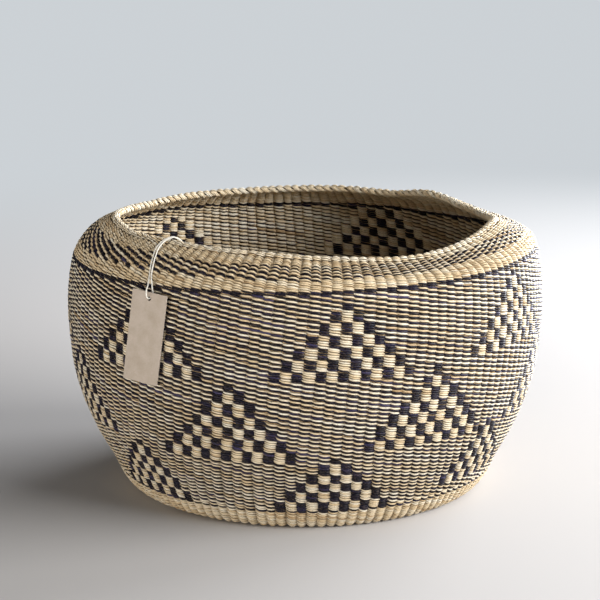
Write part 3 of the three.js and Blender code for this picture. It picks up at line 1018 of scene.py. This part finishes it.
border = {
    "height": 0.008,
    "width": 0.0064,
    "middleDepth": 0.0018,       # of the roll's middle, from the outer face of the wall
    "gap": 0.0003,
    "straws": 3,                 # in each wrap
    "strawHalf": 0.0008,
    "strawFill": 0.56,           # half width of a straw, as a share of its space in the wrap
    "strawLength": 0.018,        # for its fibres
    "strawRound": 0.0014,
    "wrapShare": 0.80,           # of its space that a wrap fills at its widest
    "endShare": 0.30,            # and at its ends
    "swell": 0.0011,             # how far the middle of a wrap stands out
    "swellPower": 0.5,
    "widthPower": 0.7,
    "endDip": 0.0013,            # how much deeper its ends lie
    "dipPower": 3,
    "sideDip": 0.0003,           # and its outer straws
    "advance": 1.7,              # stakes that a wrap moves on round the rim on its way over
    "from": 156,                 # degrees round the section, from the mouth toward the inside
    "to": -38,
    "rings": 13,
    "sides": 6,
    "placeSpread": 0.05,         # of the space between two wraps
    "widthSpread": 0.08,         # of a straw's width
    "liftSpread": 0.00008,
    "strawMean": 0.62,           # tone
    "wrapTone": 0.12,
    "ownTone": 0.075,
    # Painted shade at the ends of each straw and along its sides
    "endShade": 0.75,
    "endShadePower": 1.5,
    "sideShade": 0.4,
    "sideShadePower": 3,
    "uvColumns": 21,
}

# The core's low tone and its shade are painted shade in the gaps between the wraps
borderCore = {"share": 0.5, "steps": 280, "sides": 14, "tone": 0.2, "shade": 0.85,
              "fibres": (0.0035, 0.004, 3.0)}   # metres for a degree and a radian, and their number

borderWeft = {"courses": 5, "from": -163, "relief": 0.0015,
              "loose": {**weave["loose"], "crest": 0.00016}}


def borderPoint(azimuth, turn, lift):
    # Point round the border's section, lift metres out from its face
    middle = wallLength + border["gap"] + border["height"] / 2
    return wallPoint(
        azimuth,
        middle + (border["height"] / 2 + lift) * np.cos(turn),
        border["middleDepth"] + (border["width"] / 2 + lift) * np.sin(turn))


def weftPoint(azimuth, along, depth):
    # Point of the weft on the border, from the distance along the roll and the depth below its face
    radius = (border["height"] + border["width"]) / 4
    return borderPoint(azimuth, np.radians(borderWeft["from"]) + along / radius, -depth)


def makeBorderWeft():
    shape = (borderWeft["courses"], weave["columns"])
    step = courseHeight[-1]
    lay = strandLay["outer"]["natural"]
    loose = borderWeft["loose"]
    at = {
        "azimuth": columnAzimuth(np.arange(weave["columns"]), wallLength + border["height"] / 2),
        "halfAngle": 180 / weave["columns"],
        "along": step * (np.arange(shape[0])[:, None] + 0.5 + loose["place"] * dice.normal(0, 1, shape)),
        "drop": step / 2 * (1 + loose["drop"] * dice.normal(0, 1, shape)),
        **looseStitches(shape, loose, step * strandLay["cellFullness"], lay["crest"], lay["reach"]),
        "relief": borderWeft["relief"],
        "radius": bowl["rimRadius"],
        "tone": strandTone(shape),
    }
    stitchPieces("border_weft", at, "outer", np.zeros(shape), "rim_border", weftPoint)


def makeBorderWraps():
    # Straws by number, by ring along them and by side round them
    wraps, straws = weave["columns"], border["straws"]
    count = wraps * straws
    wrap = np.repeat(np.arange(wraps), straws)
    place = np.tile(np.linspace(-1, 1, straws), wraps)[:, None, None]
    share = np.linspace(0, 1, border["rings"])[:, None]
    side = np.arange(border["sides"]) / border["sides"] * 2 * np.pi
    bulge = np.sin(np.pi * share) ** border["swellPower"]
    pitch = 360 / wraps
    fill = bulge ** border["widthPower"]
    width = pitch * (border["endShare"] + (border["wrapShare"] - border["endShare"]) * fill)
    start = pitch * (wrap + dice.normal(0, border["placeSpread"], wraps)[wrap])[:, None, None]
    uneven = 1 + dice.normal(0, border["widthSpread"], count)[:, None, None]
    halfWidth = width / straws * border["strawFill"] * uneven
    azimuth = (start + border["advance"] * pitch * share + place * width * (1 - 1 / straws) / 2
               + halfWidth * np.cos(side))
    raised = border["swell"] * bulge - border["endDip"] * (1 - bulge) ** border["dipPower"]
    raised = raised - border["sideDip"] * np.abs(place)
    raised = raised + dice.normal(0, border["liftSpread"], count)[:, None, None]
    lift = raised + border["strawHalf"] * (np.sin(side) - 1)
    turn = np.radians(border["from"] + (border["to"] - border["from"]) * share)
    points = borderPoint(azimuth, turn, lift)
    corners, sizes, ringOf, sideOf = tubeFaces(count, border["rings"], border["sides"], True)
    u, v = patchUv(ringOf, sideOf, border["rings"], border["sides"])
    row, column = np.divmod(np.arange(count)[:, None], border["uvColumns"])
    uv = np.stack([(column + u) / border["uvColumns"], (row + v) / (count // border["uvColumns"])], -1)
    number = dice.uniform(0, fibres["numbers"], count)[:, None, None]
    tone = (border["strawMean"] + border["wrapTone"] * dice.normal(0, 1, wraps)[wrap]
            + border["ownTone"] * dice.normal(0, 1, count))
    # Painted shade: darker toward the ends of a straw and along its sides
    shade = (border["endShade"] * (1 - bulge) ** border["endShadePower"]
             + border["sideShade"] * np.abs(np.cos(side)) ** border["sideShadePower"])
    values = {
        "place": fibrePlace(border["strawLength"] * share, border["strawRound"] * np.cos(side), number),
        "tone": np.repeat(np.clip(tone, 0, 1), border["rings"] * border["sides"]),
        "paintedShade": np.tile(np.clip(shade, 0, 1).reshape(-1), count),
    }
    piece = newPiece("border_wraps", points, corners, sizes, plainGrass, uv, values)
    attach(piece, "basket")
    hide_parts("rim_border")


def makeBorderCore():
    # The folded stake ends, as one ring that shows only between the wraps; its dark colour is painted shade
    steps, sides = borderCore["steps"], borderCore["sides"]
    azimuth = (np.arange(steps) / steps * 360)[:, None]
    turn = np.arange(sides) / sides * 2 * np.pi
    points = borderPoint(azimuth, turn, border["height"] / 2 * (borderCore["share"] - 1))
    ring, side = np.indices((steps, sides))
    ahead, over = (ring + 1) % steps * sides, (side + 1) % sides
    here = ring * sides
    corners = np.stack([here + over, here + side, ahead + side, ahead + over], -1).reshape(-1)
    length, width, number = borderCore["fibres"]
    values = {"place": fibrePlace(azimuth * length, turn * width, number), "tone": borderCore["tone"],
              "paintedShade": borderCore["shade"]}
    piece = newPiece("border_core", points, corners, np.full(steps * sides, 4), plainGrass, None, values)
    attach(piece, "basket")
    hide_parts("rim_border")


makeBorderWeft()
makeBorderWraps()
makeBorderCore()
print("border wrapped")


# Floor and light

stageSet = {
    "floorSize": 24.0,
    "floorColour": (0.51, 0.49, 0.475, 1),
    "bounceColour": (0.35, 0.33, 0.31, 1),     # what the floor gives back to the basket
    "farColour": (0.605, 0.64, 0.67, 1),       # what the camera sees beyond fadeTo
    "fadeFrom": 0.55,
    "fadeTo": 1.9,
    "roughness": 0.9,
    "specular": 0.1,
}


def floorMaterial():
    material, tree, shader = newMaterial("paleFloor")
    seen = tree.nodes.new("ShaderNodeLightPath").outputs["Is Camera Ray"]
    colour = mixColours(tree, seen, stageSet["bounceColour"], stageSet["floorColour"])
    tree.links.new(colour, shader.inputs["Base Color"])
    shader.inputs["Roughness"].default_value = stageSet["roughness"]
    shader.inputs["Specular IOR Level"].default_value = stageSet["specular"]
    place = tree.nodes.new("ShaderNodeNewGeometry").outputs["Position"]
    distance = addNode(tree, "ShaderNodeVectorMath", {0: place}, operation="LENGTH").outputs["Value"]
    fade = mapRange(tree, distance, stageSet["fadeFrom"], stageSet["fadeTo"],
                    interpolation_type="SMOOTHSTEP")
    far = addNode(tree, "ShaderNodeEmission", {"Color": stageSet["farColour"], "Strength": 1.0})
    both = addNode(tree, "ShaderNodeMixShader", {0: calculate(tree, "MULTIPLY", fade, seen),
                                                 1: shader.outputs[0], 2: far.outputs[0]})
    tree.links.new(both.outputs[0], tree.nodes["Material Output"].inputs["Surface"])
    return material


def makeStage():
    half = stageSet["floorSize"] / 2
    mesh = bpy.data.meshes.new("stage_floor")
    corners = [(-half, -half, 0), (half, -half, 0), (half, half, 0), (-half, half, 0)]
    mesh.from_pydata(corners, [], [(0, 1, 2, 3)])
    mesh.materials.append(floorMaterial())
    sheet = bpy.data.objects.new("stage_floor", mesh)
    scene.collection.objects.link(sheet)


lights = [
    {"name": "window", "place": (2.2, -0.75, 1.1), "size": (2.6, 1.2), "power": 127,
     "colour": (0.98, 0.985, 0.99)},
    {"name": "sheen", "place": (1.75, 1.8, 0.65), "size": (2.2, 1.1), "power": 185,
     "colour": (0.92, 0.95, 1.0)},
    {"name": "room", "place": (-1.7, -2.4, 0.26), "size": (4.2, 0.3), "power": 72,
     "colour": (1.0, 0.965, 0.91)},
]
lightAim = Vector((0, 0, 0.14))
worldLight = {"colour": (0.88, 0.92, 0.98, 1), "strength": 0.12}


def makeLights():
    for light in lights:
        data = bpy.data.lights.new(light["name"], "AREA")
        data.shape = "RECTANGLE"
        data.size, data.size_y = light["size"]
        data.energy = light["power"]
        data.color = light["colour"]
        lamp = bpy.data.objects.new(light["name"], data)
        lamp.location = light["place"]
        lamp.rotation_euler = (lightAim - lamp.location).to_track_quat("-Z", "Y").to_euler()
        scene.collection.objects.link(lamp)


def makeWorld():
    # The camera sees the far colour, and the basket gets a dim sky
    world = bpy.data.worlds.new("world")
    world.use_nodes = True
    scene.world = world
    tree = world.node_tree
    seen = tree.nodes.new("ShaderNodeLightPath").outputs["Is Camera Ray"]
    sky = tree.nodes["Background"]
    tree.links.new(mixColours(tree, seen, worldLight["colour"], stageSet["farColour"]), sky.inputs["Color"])
    tree.links.new(mapRange(tree, seen, 0.0, 1.0, worldLight["strength"], 1.0), sky.inputs["Strength"])


makeStage()
makeLights()
makeWorld()
print("stage and light set")
